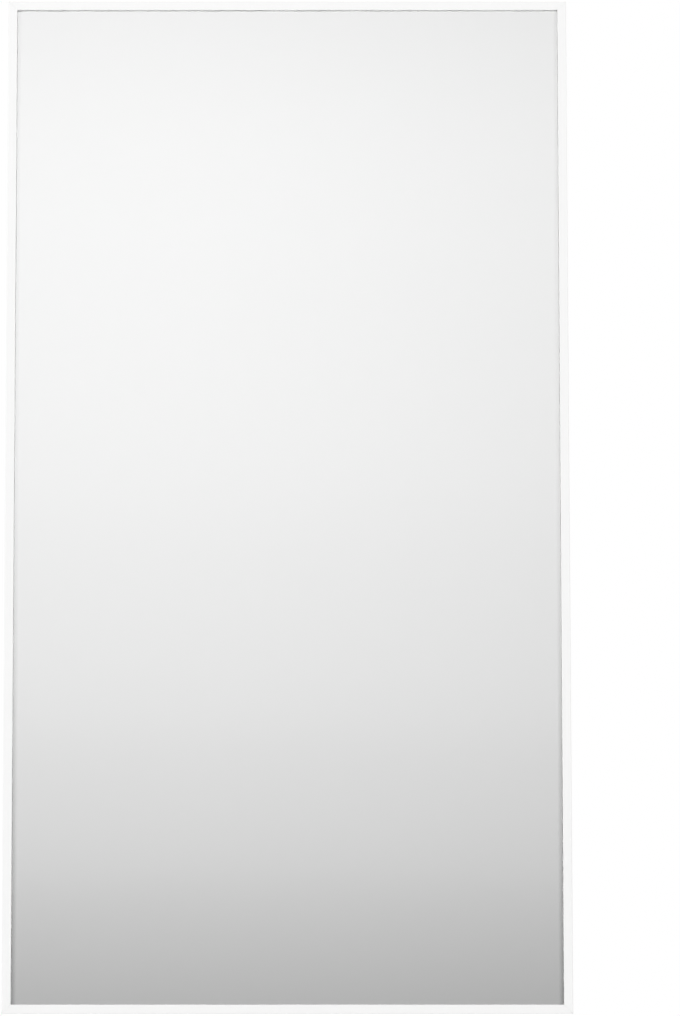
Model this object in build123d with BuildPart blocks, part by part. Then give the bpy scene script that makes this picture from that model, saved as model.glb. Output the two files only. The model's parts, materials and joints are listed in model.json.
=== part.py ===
from build123d import *

import os
from math import radians, tan

# Wall-hung infrared panel heater: a mirror-glass front in a mitred aluminium frame, 500 x 900 mm.
#
# X runs to the right, Z up, and Y from the room to the wall. The wall is the plane y = 0, and the
# origin is the middle of the four wall keyholes. Below, "v" is a depth from the frame's front face
# towards the wall, and "u" a distance in from the frame's outer side.

# ---------------------------------------------------------------- driving dimensions, in millimetres
# Whole heater
heater_width = 500.0
heater_height = 900.0
frame_depth = 22.0
box_to_wall = 3.7

# Frame extrusion
lip_width = 8.0
lip_thickness = 1.5
frame_wall = 1.5
web_thickness = 1.2
chamber_width = 8.3
rim_height = 1.5
outer_edge_radius = 0.9
lip_edge_radius = 0.45
mitre_gap = 0.1

# Front sandwich: rubber channel, mirror, heating layers
gasket_leg = 0.5
gasket_edge = 1.0
gasket_setback = 2.5
glass_thickness = 3.0
bond_gap = 0.05
backing_thickness = 0.25
film_thickness = 0.4
film_margin = 12.0
track_thickness = 0.15
track_height = 30.0
track_pitch = 46.0
busbar_width = 10.0
busbar_thickness = 0.3
busbar_margin = 5.0
foil_thickness = 0.3

# Insulation and rear cover
fit_clearance = 0.3
cover_thickness = 0.8
bead_from_side = 85.0
bead_from_top = 165.0
bead_from_box = 157.0
bead_width = 16.0
bead_height = 1.4
bead_count = 5
bead_taper = 35.0

# Corner keys
key_leg = 38.0
key_clearance = 0.15
key_screw_station = 25.0

# Screws and rivets: lengths are measured under the head, and the last five are shares of a screw's own
# head or shank
hole_clearance = 0.05
cover_screw_shank = 1.6
cover_screw_head = 3.2
cover_screw_head_height = 1.9
cover_screw_length = 8.0
bracket_screw_shank = 2.0
bracket_screw_head = 3.6
bracket_screw_head_height = 2.2
bracket_screw_length = 11.0
lid_screw_shank = 1.3
lid_screw_head = 2.6
lid_screw_head_height = 1.6
lid_screw_length = 9.0
board_screw_shank = 1.2
board_screw_head = 2.4
board_screw_head_height = 1.6
board_screw_length = 3.4
earth_screw_shank = 2.0
earth_screw_head = 3.6
earth_screw_head_height = 2.4
earth_screw_length = 5.0
key_screw_radius = 1.5
key_screw_head_radius = 2.6
key_screw_length = 6.0
rivet_radius = 1.6
rivet_head_radius = 3.2
rivet_head_height = 1.0
rivet_tail_radius = 2.4
rivet_tail_height = 1.6
head_rounding_share = 0.45
point_share = 0.5
cross_span_share = 1.1
cross_width_share = 0.28
cross_depth_share = 0.6
cover_screws_across = 3
cover_screws_up = 4
cover_screw_from_side = 90.0
cover_screw_from_end = 180.0

# Wall brackets, one near each corner
bracket_thickness = 2.0
bracket_height = 56.0
bracket_bend_radius = 1.6
bracket_corner_radius = 5.0
bracket_foot_width = 18.0
bracket_screw_spacing = 34.0
keyhole_from_side = 40.0
keyhole_from_end = 100.0
keyhole_entry_radius = 5.0
keyhole_slot_radius = 2.6
keyhole_rise = 12.0
keyhole_flange_reach = 15.0

# Control box on the back, above the lower frame bar
box_width = 210.0
box_height = 92.0
box_wall = 2.2
box_floor = 2.0
box_lid_thickness = 2.0
box_corner_radius = 4.0
box_inner_corner_radius = 1.8
box_lift = 26.0
box_seam = 0.3
module_headroom = 1.4
gland_room = 0.5
box_boss_radius = 4.0
box_boss_inset = 5.0
vent_width = 2.0
vent_length = 16.0
vent_pitch = 5.0
vent_count = 7
sensor_vent_length = 9.0
sensor_vent_count = 4
box_rivet_inset_x = 45.0
box_rivet_inset_z = 9.0

# Controller board and what stands on it
board_end_room = 47.0
board_headroom = 10.6
board_thickness = 1.6
board_standoff = 3.0
board_lift = 7.0
board_hole_inset = 4.0
standoff_radius = 3.0
terminal_names = ["live_in", "neutral_in", "earth", "live_out", "neutral_out"]
terminal_pitch = 7.5
terminal_width = 10.0
terminal_tall = 10.5
terminal_wire_level = 4.0
terminal_bore_clearance = 0.2
terminal_bore_depth = 7.0
terminal_inset = 1.5
terminal_land = 0.6
terminal_screw_radius = 2.0
terminal_screw_sink = 1.7
terminal_chamfer = 2.1
screwdriver_slot_width = 0.7
screwdriver_slot_depth = 0.8
power_module_length = 34.0
power_module_width = 20.0
power_module_height = 11.0
power_module_place = (-18.0, 50.0)
relay_length = 20.0
relay_width = 16.0
relay_height = 11.0
relay_place = (22.0, 50.0)
radio_board_length = 25.0
radio_board_width = 18.0
radio_board_thickness = 0.8
radio_can_length = 15.0
radio_can_width = 13.0
radio_can_height = 2.4
radio_place = (28.0, 20.0)
fuse_radius = 2.6
fuse_length = 20.0
fuse_lift = 1.0
fuse_clip_width = 6.2
fuse_place = (-24.0, 22.0)
capacitor_radius = 4.0
capacitor_height = 10.5
capacitor_place = (4.0, 26.0)

# Wires
wire_radius = 1.3
wire_bend = 4.0
barrel_wall = 0.5
barrel_length = 6.0
wire_grip = 4.0
lead_channel_width = 9.0
lead_channel_depth = 6.0
grommet_from_end = 25.0
grommet_bore_radius = 5.0
grommet_waist = 1.4
grommet_flange = 1.6
grommet_flange_thickness = 1.2
grommet_below_top = 18.0
grommet_lead_gap = 1.0
earth_from_end = 17.0
earth_ring_radius = 4.2

# Thermal cut-outs
cutout_inset = 30.0
cutout_cup_radius = 7.9
cutout_cup_height = 3.6
cutout_body_radius = 6.8
cutout_tab_reach = 9.0
cutout_tab_width = 5.0
cutout_tab_thickness = 0.8
cutout_pocket_clearance = 1.5

# Rocker switch in the box's lower wall
rocker_from_end = 35.0
rocker_bezel_end_overlap = 1.0
rocker_bezel_side_overlap = 1.1
rocker_bezel_thickness = 2.0
rocker_bezel_corner_radius = 1.2
rocker_bezel_chamfer = 0.5
rocker_end_wall = 1.0
rocker_back_wall = 5.0
rocker_radius = 8.2
rocker_width = 9.8
rocker_clearance = 0.3
rocker_pivot_depth = 4.0
rocker_crown = 1.0
rocker_inner_reach = 4.0
rocker_throw = 16.0
rocker_axle_radius = 1.0
rocker_side_wall = 1.2
rocker_back_room = 7.5
tab_spacing = 8.0
tab_width = 4.8
tab_thickness = 0.8
tab_length = 7.5

# Pairing button, light pipe and its lamp
button_from_board_end = 20.0
button_cap_radius = 3.3
button_hole_clearance = 0.25
button_flange_radius = 4.4
button_flange_thickness = 1.0
button_stem_radius = 1.5
button_proud = 1.6
button_travel = 1.0
button_play = 0.1
tact_side = 6.0
tact_height = 3.6
pipe_from_button = 18.0
pipe_radius = 1.5
pipe_flange = 0.8
pipe_proud = 0.4
lamp_radius = 1.5
lamp_length = 4.5
lamp_leg_height = 1.8

# Room-temperature sensor
sensor_x = -10.0
sensor_bead_radius = 1.4
sensor_lead_radius = 0.35
sensor_lead_spacing = 1.6

# Cable gland in the box's lower wall
gland_from_end = 27.0
gland_flats = 16.0
gland_thread_radius = 6.0
gland_bore_radius = 4.4
gland_flange_thickness = 4.0
gland_neck_length = 5.0
gland_spigot_length = 8.4
gland_nut_length = 13.0
gland_nut_dome = 3.5
gland_nut_taper = 30.0
gland_nut_mouth_radius = 4.0
gland_locknut_thickness = 3.5
cable_bore_radius = 3.6
seal_length = 6.0
seal_wall = 1.8
thread_clearance = 0.08

# ---------------------------------------------------------------- sizes and places worked out from the above
board_stack = (
    board_standoff
    + board_thickness
    + max(power_module_height, relay_height, capacitor_height, terminal_tall)
    + module_headroom
)
box_inside = max(board_stack, gland_flats + 2 * gland_room)
box_depth = box_floor + box_inside + box_lid_thickness
wall_gap = box_depth + box_to_wall + cover_thickness - rim_height
front_y = -(wall_gap + frame_depth)


def depth(v):
    """The y of a depth v behind the frame's front face."""
    return front_y + v


half_width = heater_width / 2
half_height = heater_height / 2

glass_v = lip_thickness + gasket_leg
backing_v = glass_v + glass_thickness + bond_gap
film_v = backing_v + backing_thickness
slot_end_v = film_v + gasket_leg
cover_seat_v = frame_depth - rim_height
track_v = film_v + film_thickness
foil_v = track_v + busbar_thickness
insulation_v = foil_v + foil_thickness

chamber_front_v = slot_end_v + web_thickness
chamber_back_v = cover_seat_v - web_thickness
chamber_mid_u = frame_wall + chamber_width / 2
bar_inner_u = frame_wall + chamber_width + web_thickness

cover_front_y = depth(cover_seat_v)
cover_back_y = cover_front_y + cover_thickness

glass_u = frame_wall + fit_clearance + gasket_edge
glass_width = heater_width - 2 * glass_u
glass_height = heater_height - 2 * glass_u
bay_width = heater_width - 2 * bar_inner_u
bay_height = heater_height - 2 * bar_inner_u
film_width = bay_width - 2 * film_margin
film_height = bay_height - 2 * film_margin
busbar_x = film_width / 2 - busbar_margin - busbar_width / 2
busbar_length = film_height - 2 * busbar_margin
track_count = int(busbar_length // track_pitch)

box_bottom = -half_height + box_lift
box_top = box_bottom + box_height
box_middle = (box_bottom + box_top) / 2
box_floor_y = cover_back_y + box_floor
box_back_y = cover_back_y + box_depth
lid_front_y = box_back_y - box_lid_thickness
box_mid_y = (box_floor_y + lid_front_y) / 2
wall_inside_z = box_bottom + box_wall
inner_width = box_width - 2 * box_wall
inner_height = box_height - 2 * box_wall

board_front_y = box_floor_y + board_standoff
board_back_y = board_front_y + board_thickness
board_width = box_width - 2 * board_end_room
board_height = inner_height - board_lift - board_headroom
board_bottom = wall_inside_z + board_lift
board_middle = board_bottom + board_height / 2

terminal_left = -board_width / 2 + terminal_inset
terminal_wire_y = board_back_y + terminal_wire_level
terminal_bore_radius = wire_radius + terminal_bore_clearance
terminal_first_z = board_middle - terminal_pitch * (len(terminal_names) - 1) / 2

gland_x = gland_from_end - box_width / 2
earth_x = earth_from_end - box_width / 2
grommet_x = grommet_from_end - box_width / 2
grommet_z = box_top - grommet_below_top
lead_y = cover_front_y - lead_channel_depth / 2
cutout_x = busbar_x - cutout_inset

rocker_x = box_width / 2 - rocker_from_end
button_x = board_width / 2 - button_from_board_end
pipe_x = button_x - pipe_from_button
face_z = box_bottom - rocker_bezel_thickness
pivot_z = face_z + rocker_pivot_depth
cavity_half_length = rocker_radius + rocker_clearance
cavity_half_width = rocker_width / 2 + rocker_clearance
rocker_body_length = 2 * (cavity_half_length + rocker_end_wall)
rocker_body_width = 2 * (cavity_half_width + rocker_side_wall)
rocker_cavity_depth = rocker_pivot_depth + rocker_back_room
rocker_body_depth = rocker_cavity_depth + rocker_back_wall - rocker_bezel_thickness

keyhole_spacing_x = heater_width - 2 * keyhole_from_side
keyhole_spacing_z = heater_height - 2 * keyhole_from_end


def facing(y):
    """A plane across the heater at depth y. Its normal looks into the room."""
    return Plane.XZ.offset(-y)


def evenly(count, pitch):
    """Places of count things, a pitch apart, about zero."""
    return [pitch * (i - (count - 1) / 2) for i in range(count)]


def between(count, first, last):
    """Places of count things, spread evenly from first to last."""
    return [first + (last - first) * i / (count - 1) for i in range(count)]


def terminal_z(name):
    """The height of one way of the terminal block."""
    return terminal_first_z + terminal_pitch * terminal_names.index(name)


corners = {
    "top_left": (-1, 1),
    "top_right": (1, 1),
    "bottom_left": (-1, -1),
    "bottom_right": (1, -1),
}
sides = {"left": -1, "right": 1}

screw_reach_across = half_width - cover_screw_from_side
screw_reach_up = half_height - cover_screw_from_end
cover_screw_stations = {
    "across": between(cover_screws_across, -screw_reach_across, screw_reach_across),
    "up": between(cover_screws_up, -screw_reach_up, screw_reach_up),
}
bracket_screw_stations = [
    place + step
    for place in evenly(2, keyhole_spacing_z)
    for step in evenly(2, bracket_screw_spacing)
]
cover_screw_points = [
    (x, 0, z * (half_height - chamber_mid_u))
    for x in cover_screw_stations["across"]
    for z in (-1, 1)
] + [
    (x * (half_width - chamber_mid_u), 0, z)
    for z in cover_screw_stations["up"]
    for x in (-1, 1)
]
bracket_screw_points = [
    (x * (half_width - chamber_mid_u), 0, z)
    for z in bracket_screw_stations
    for x in (-1, 1)
]
box_rivet_points = [
    (x * (box_width / 2 - box_rivet_inset_x), 0, z)
    for x in (-1, 1)
    for z in (box_bottom + box_rivet_inset_z, box_top - box_rivet_inset_z)
]
box_boss_points = [
    (x * (box_width / 2 - box_boss_inset), 0, z)
    for x in (-1, 1)
    for z in (box_bottom + box_boss_inset, box_top - box_boss_inset)
]
board_screw_points = [
    (x * (board_width / 2 - board_hole_inset), 0, z)
    for x in (-1, 1)
    for z in (
        board_bottom + board_hole_inset,
        board_bottom + board_height - board_hole_inset,
    )
]
earth_barrel_z = terminal_z("earth")
earth_screw_z = earth_barrel_z - 2 * earth_ring_radius - barrel_wall

os.makedirs("parts", exist_ok=True)


def save(builder, name):
    """Labels the finished piece and writes its STEP file."""
    builder.part.label = name
    export_step(builder.part, f"parts/{name}.step")


def flat(points):
    """The (x, z) of places given as (x, y, z), for sketches on a facing plane."""
    return [(x, z) for x, _, z in points]


def cross_screw(seat_y, shank, head, height, length):
    """A pan-head screw driven towards the room, its head's underside at seat_y."""
    cross_span = cross_span_share * head
    cross_width = cross_width_share * head
    with BuildPart() as screw:
        with BuildSketch(facing(seat_y)):
            Circle(head)
        extrude(amount=-height)
        fillet(screw.edges().group_by(Axis.Y)[-1], head_rounding_share * height)
        with BuildSketch(facing(seat_y)):
            Circle(shank)
        extrude(amount=length)
        chamfer(screw.edges().group_by(Axis.Y)[0], point_share * shank)
        with BuildSketch(facing(seat_y + height)):
            Rectangle(cross_span, cross_width)
            Rectangle(cross_width, cross_span)
        extrude(amount=cross_depth_share * height, mode=Mode.SUBTRACT)
    return screw.part


def at_points(piece, points):
    """Copies of one piece, moved to each point, as the solids of one part."""
    with BuildPart() as group:
        with Locations(*points):
            add(piece)
    return group


# ---------------------------------------------------------------- frame bars
def frame_bar(length, reach, turn, cover_stations, bracket_stations):
    """One mitred bar, made as the top bar with its outer side at z = reach, then turned about Y."""
    section = [
        (0, 0),
        (lip_width, 0),
        (lip_width, lip_thickness),
        (frame_wall, lip_thickness),
        (frame_wall, slot_end_v),
        (bar_inner_u, slot_end_v),
        (bar_inner_u, cover_seat_v),
        (frame_wall, cover_seat_v),
        (frame_wall, frame_depth),
        (0, frame_depth),
    ]
    end = length / 2 - mitre_gap / 2
    tip = end - bar_inner_u
    with BuildPart() as bar:
        with BuildSketch(Plane.YZ) as outline:
            with BuildLine():
                Polyline([(depth(v), reach - u) for u, v in section], close=True)
            make_face()
            front = outline.vertices().group_by(Axis.X)[0].sort_by(Axis.Y)
            fillet(front[-1], outer_edge_radius)
            lip_edge = outline.vertices().sort_by_distance((front_y, reach - lip_width))
            fillet(lip_edge[:2], lip_edge_radius)
            with Locations(
                (
                    depth((chamber_front_v + chamber_back_v) / 2),
                    reach - chamber_mid_u,
                )
            ):
                Rectangle(
                    chamber_back_v - chamber_front_v, chamber_width, mode=Mode.SUBTRACT
                )
        extrude(amount=length / 2, both=True)
        with BuildSketch(facing(depth(frame_depth))):
            with BuildLine():
                Polyline(
                    [
                        (-end, reach),
                        (end, reach),
                        (tip, reach - bar_inner_u),
                        (-tip, reach - bar_inner_u),
                    ],
                    close=True,
                )
            make_face()
        extrude(amount=frame_depth, mode=Mode.INTERSECT)
        row = reach - chamber_mid_u
        with BuildSketch(facing(cover_front_y)):
            with Locations(*[(s, row) for s in cover_stations]):
                Circle(cover_screw_shank + hole_clearance)
            if bracket_stations:
                with Locations(*[(s, row) for s in bracket_stations]):
                    Circle(bracket_screw_shank + hole_clearance)
        extrude(amount=web_thickness, mode=Mode.SUBTRACT)
        key_stations = [
            s * (length / 2 - frame_wall - key_screw_station) for s in (-1, 1)
        ]
        for s in key_stations:
            with Locations(Plane(origin=(s, cover_front_y, row), z_dir=(0, 1, 0))):
                CounterSinkHole(
                    radius=key_screw_radius + hole_clearance,
                    counter_sink_radius=key_screw_head_radius + hole_clearance,
                    depth=web_thickness,
                    counter_sink_angle=90,
                )
    bar.part = bar.part.rotate(Axis.Y, turn)
    return bar


long_bar = (heater_height, half_width)
short_bar = (heater_width, half_height)
bars = {
    "frame_bar_top": (*short_bar, 0, "across"),
    "frame_bar_right": (*long_bar, 90, "up"),
    "frame_bar_bottom": (*short_bar, 180, "across"),
    "frame_bar_left": (*long_bar, -90, "up"),
}
for name, (length, reach, turn, row) in bars.items():
    brackets_here = bracket_screw_stations if row == "up" else []
    save(
        frame_bar(length, reach, turn, cover_screw_stations[row], brackets_here), name
    )

# ---------------------------------------------------------------- corner keys and their screws
key_width = chamber_width - 2 * key_clearance
key_front_y = depth(chamber_front_v + key_clearance)
key_back_y = depth(chamber_back_v - key_clearance)
key_corner_x = half_width - frame_wall - key_clearance
key_corner_z = half_height - frame_wall - key_clearance


def key_screw_places(sx, sz):
    """The two screws of one corner key, as (x, z)."""
    far_x = half_width - frame_wall - key_screw_station
    far_z = half_height - frame_wall - key_screw_station
    return [
        (sx * far_x, sz * (half_height - chamber_mid_u)),
        (sx * (half_width - chamber_mid_u), sz * far_z),
    ]


key_outline = [
    (0, 0),
    (key_leg, 0),
    (key_leg, key_width),
    (key_width, key_width),
    (key_width, key_leg),
    (0, key_leg),
]
with BuildPart() as corner_keys:
    for sx, sz in corners.values():
        corner = [(sx * (key_corner_x - a), sz * (key_corner_z - b)) for a, b in key_outline]
        with BuildSketch(facing(key_back_y)):
            with BuildLine():
                Polyline(corner, close=True)
            make_face()
            with Locations(*key_screw_places(sx, sz)):
                Circle(key_screw_radius + hole_clearance, mode=Mode.SUBTRACT)
        extrude(amount=key_back_y - key_front_y)
save(corner_keys, "corner_keys")

with BuildPart() as key_screw:
    with BuildSketch(facing(cover_front_y)):
        Circle(key_screw_radius)
    extrude(amount=key_screw_length)
    with Locations(
        Plane(origin=(0, cover_front_y - web_thickness / 2, 0), z_dir=(0, 1, 0))
    ):
        Cone(
            bottom_radius=key_screw_head_radius - web_thickness,
            top_radius=key_screw_head_radius,
            height=web_thickness,
        )
key_screw_points = [
    (x, 0, z) for sx, sz in corners.values() for x, z in key_screw_places(sx, sz)
]
save(at_points(key_screw.part, key_screw_points), "corner_key_screws")

# ---------------------------------------------------------------- mirror, its backing and its rubber channel
with BuildPart() as mirror_glass:
    with BuildSketch(facing(depth(glass_v))):
        Rectangle(glass_width, glass_height)
    extrude(amount=-glass_thickness)
save(mirror_glass, "mirror_glass")

with BuildPart() as mirror_backing:
    with BuildSketch(facing(depth(backing_v))):
        Rectangle(glass_width, glass_height)
    extrude(amount=-backing_thickness)
save(mirror_backing, "mirror_backing")

channel_outer = frame_wall + fit_clearance
channel_inner = lip_width - gasket_setback
with BuildPart() as edge_gasket:
    with BuildSketch(facing(depth(lip_thickness))):
        Rectangle(heater_width - 2 * channel_outer, heater_height - 2 * channel_outer)
        Rectangle(
            heater_width - 2 * channel_inner,
            heater_height - 2 * channel_inner,
            mode=Mode.SUBTRACT,
        )
    extrude(amount=-(slot_end_v - lip_thickness))
    with BuildSketch(facing(depth(glass_v))):
        Rectangle(glass_width, glass_height)
    extrude(amount=-(film_v - glass_v), mode=Mode.SUBTRACT)
save(edge_gasket, "edge_gasket")

# ---------------------------------------------------------------- heating film, carbon tracks, busbars, foil
with BuildPart() as heating_film:
    with BuildSketch(facing(depth(film_v))):
        Rectangle(film_width, film_height)
    extrude(amount=-film_thickness)
save(heating_film, "heating_film")

track_length = 2 * busbar_x - busbar_width
with BuildPart() as carbon_tracks:
    with BuildSketch(facing(depth(track_v))):
        with Locations(*[(0, z) for z in evenly(track_count, track_pitch)]):
            Rectangle(track_length, track_height)
    extrude(amount=-track_thickness)
save(carbon_tracks, "carbon_tracks")

for side, sx in sides.items():
    with BuildPart() as busbar:
        with BuildSketch(facing(depth(track_v))):
            with Locations((sx * busbar_x, 0)):
                Rectangle(busbar_width, busbar_length)
        extrude(amount=-busbar_thickness)
    save(busbar, f"busbar_{side}")

with BuildPart() as reflector_foil:
    with BuildSketch(facing(depth(foil_v))):
        Rectangle(film_width, film_height)
        with Locations(*[(sx * busbar_x, grommet_z) for sx in sides.values()]):
            Circle(wire_radius + fit_clearance, mode=Mode.SUBTRACT)
    extrude(amount=-foil_thickness)
save(reflector_foil, "reflector_foil")

# ---------------------------------------------------------------- insulation board
pocket_radius = cutout_cup_radius + cutout_pocket_clearance
lead_channel_length = 2 * (busbar_x + wire_radius + fit_clearance)
grommet_flange_radius = grommet_bore_radius + grommet_waist + grommet_flange
with BuildPart() as insulation_board:
    with BuildSketch(facing(depth(insulation_v))):
        Rectangle(bay_width - 2 * fit_clearance, bay_height - 2 * fit_clearance)
        with Locations(*[(sx * cutout_x, grommet_z) for sx in sides.values()]):
            Circle(pocket_radius, mode=Mode.SUBTRACT)
        with Locations(*[(sx * busbar_x, grommet_z) for sx in sides.values()]):
            Circle(wire_radius + fit_clearance, mode=Mode.SUBTRACT)
    extrude(amount=-(cover_seat_v - insulation_v))
    with BuildSketch(facing(cover_front_y)):
        with Locations((0, grommet_z)):
            Rectangle(lead_channel_length, lead_channel_width)
        with Locations((grommet_x, grommet_z)):
            Circle(grommet_flange_radius + fit_clearance)
    extrude(amount=lead_channel_depth, mode=Mode.SUBTRACT)
    with BuildSketch(facing(cover_front_y)):
        with Locations(*flat(box_rivet_points)):
            Circle(rivet_tail_radius + fit_clearance)
        with Locations((earth_x, earth_screw_z)):
            Circle(rivet_tail_radius + fit_clearance)
    extrude(amount=earth_screw_length, mode=Mode.SUBTRACT)
save(insulation_board, "insulation_board")

# ---------------------------------------------------------------- thermal cut-outs on the foil
cutout_seat_y = depth(insulation_v)
barrel_radius = wire_radius + hole_clearance + barrel_wall
for side, sx in sides.items():
    barrel_ends = [cutout_tab_reach, -cutout_tab_reach]
    with BuildPart() as thermal_cutout:
        with BuildSketch(facing(cutout_seat_y)):
            with Locations((sx * cutout_x, grommet_z)):
                Circle(cutout_cup_radius)
        extrude(amount=-cutout_cup_height)
        with BuildSketch(facing(cutout_seat_y)):
            with Locations((sx * cutout_x, grommet_z)):
                Circle(cutout_body_radius)
        extrude(amount=-(lead_y + cutout_tab_thickness / 2 - cutout_seat_y))
        with Locations((sx * cutout_x, lead_y, grommet_z)):
            Box(2 * cutout_tab_reach, cutout_tab_thickness, cutout_tab_width)
        for reach in barrel_ends:
            out = 1 if reach > 0 else -1
            with BuildSketch(Plane.YZ.offset(sx * cutout_x + reach)):
                with Locations((lead_y, grommet_z)):
                    Circle(barrel_radius)
            extrude(amount=out * barrel_length)
            with BuildSketch(Plane.YZ.offset(sx * cutout_x + reach)):
                with Locations((lead_y, grommet_z)):
                    Circle(wire_radius + hole_clearance)
            extrude(amount=out * barrel_length, mode=Mode.SUBTRACT)
    save(thermal_cutout, f"thermal_cutout_{side}")


# ---------------------------------------------------------------- leads
def wire(points, last_bend=wire_bend):
    """An insulated wire along straight runs joined by arcs."""
    bends = [wire_bend for point in points[1:-1]]
    bends[-1] = last_bend
    with BuildPart() as lead:
        with BuildLine() as route:
            FilletPolyline(*points, radius=bends)
        start = route.wires()[0]
        with BuildSketch(Plane(origin=start @ 0, z_dir=start % 0)):
            Circle(wire_radius)
        sweep()
    return lead


wire_start_x = terminal_left + wire_grip
cutout_grip = cutout_tab_reach + barrel_length - wire_grip
for name, way, sx in (
    ("lead_live", "live_out", -1),
    ("lead_neutral", "neutral_out", 1),
):
    drop_x = grommet_x + sx * (wire_radius + grommet_lead_gap / 2)
    route = [
        (wire_start_x, terminal_wire_y, terminal_z(way)),
        (drop_x, terminal_wire_y, terminal_z(way)),
        (drop_x, terminal_wire_y, grommet_z),
        (drop_x, lead_y, grommet_z),
        (sx * (cutout_x - cutout_grip), lead_y, grommet_z),
    ]
    save(wire(route), name)

for side, sx in sides.items():
    route = [
        (sx * (cutout_x + cutout_grip), lead_y, grommet_z),
        (sx * busbar_x, lead_y, grommet_z),
        (sx * busbar_x, depth(foil_v), grommet_z),
    ]
    save(wire(route), f"busbar_link_{side}")

ring_thickness = barrel_wall * 2
earth_barrel_y = box_floor_y + ring_thickness
route = [
    (wire_start_x, terminal_wire_y, earth_barrel_z),
    (earth_x, terminal_wire_y, earth_barrel_z),
    (earth_x, earth_barrel_y, earth_barrel_z),
]
save(wire(route), "lead_earth")

# ---------------------------------------------------------------- earth ring terminal and its screw
with BuildPart() as earth_ring:
    with BuildSketch(facing(box_floor_y)):
        with Locations((earth_x, earth_screw_z)):
            Circle(earth_ring_radius)
        with Locations((earth_x, (earth_screw_z + earth_barrel_z) / 2)):
            Rectangle(2 * barrel_radius, earth_barrel_z - earth_screw_z)
        with Locations((earth_x, earth_barrel_z)):
            Circle(barrel_radius)
        with Locations((earth_x, earth_screw_z)):
            Circle(earth_screw_shank + hole_clearance, mode=Mode.SUBTRACT)
    extrude(amount=-ring_thickness)
    with BuildSketch(facing(earth_barrel_y)):
        with Locations((earth_x, earth_barrel_z)):
            Circle(barrel_radius)
            Circle(wire_radius + hole_clearance, mode=Mode.SUBTRACT)
    extrude(amount=-wire_grip)
save(earth_ring, "earth_ring")

earth_screw = cross_screw(
    earth_barrel_y,
    earth_screw_shank,
    earth_screw_head,
    earth_screw_head_height,
    earth_screw_length,
)
save(at_points(earth_screw, [(earth_x, 0, earth_screw_z)]), "earth_screw")

# ---------------------------------------------------------------- rear cover and its screws
grommet_hole_radius = grommet_bore_radius + grommet_waist
bead_length = heater_width - 2 * bead_from_side
bead_places = [
    (0, z)
    for z in between(bead_count, box_top + bead_from_box, half_height - bead_from_top)
]
bead_shrink = 2 * cover_thickness * tan(radians(bead_taper))
with BuildPart() as rear_cover:
    with BuildSketch(facing(cover_back_y)):
        Rectangle(
            heater_width - 2 * (frame_wall + fit_clearance),
            heater_height - 2 * (frame_wall + fit_clearance),
        )
        with Locations(*flat(cover_screw_points)):
            Circle(cover_screw_shank + hole_clearance, mode=Mode.SUBTRACT)
        with Locations(*flat(bracket_screw_points)):
            Circle(bracket_screw_shank + hole_clearance, mode=Mode.SUBTRACT)
        with Locations(*flat(box_rivet_points)):
            Circle(rivet_radius + hole_clearance, mode=Mode.SUBTRACT)
        with Locations((earth_x, earth_screw_z)):
            Circle(earth_screw_shank + hole_clearance, mode=Mode.SUBTRACT)
        with Locations((grommet_x, grommet_z)):
            Circle(grommet_hole_radius + hole_clearance, mode=Mode.SUBTRACT)
    extrude(amount=cover_thickness)
    with BuildSketch(facing(cover_back_y)):
        with Locations(*bead_places):
            SlotOverall(bead_length, bead_width)
    extrude(amount=-bead_height, taper=bead_taper)
    with BuildSketch(facing(cover_front_y)):
        with Locations(*bead_places):
            SlotOverall(bead_length - bead_shrink, bead_width - bead_shrink)
    extrude(amount=-bead_height, taper=bead_taper, mode=Mode.SUBTRACT)
save(rear_cover, "rear_cover")

cover_screw = cross_screw(
    cover_back_y,
    cover_screw_shank,
    cover_screw_head,
    cover_screw_head_height,
    cover_screw_length,
)
save(at_points(cover_screw, cover_screw_points), "rear_cover_screws")

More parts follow.
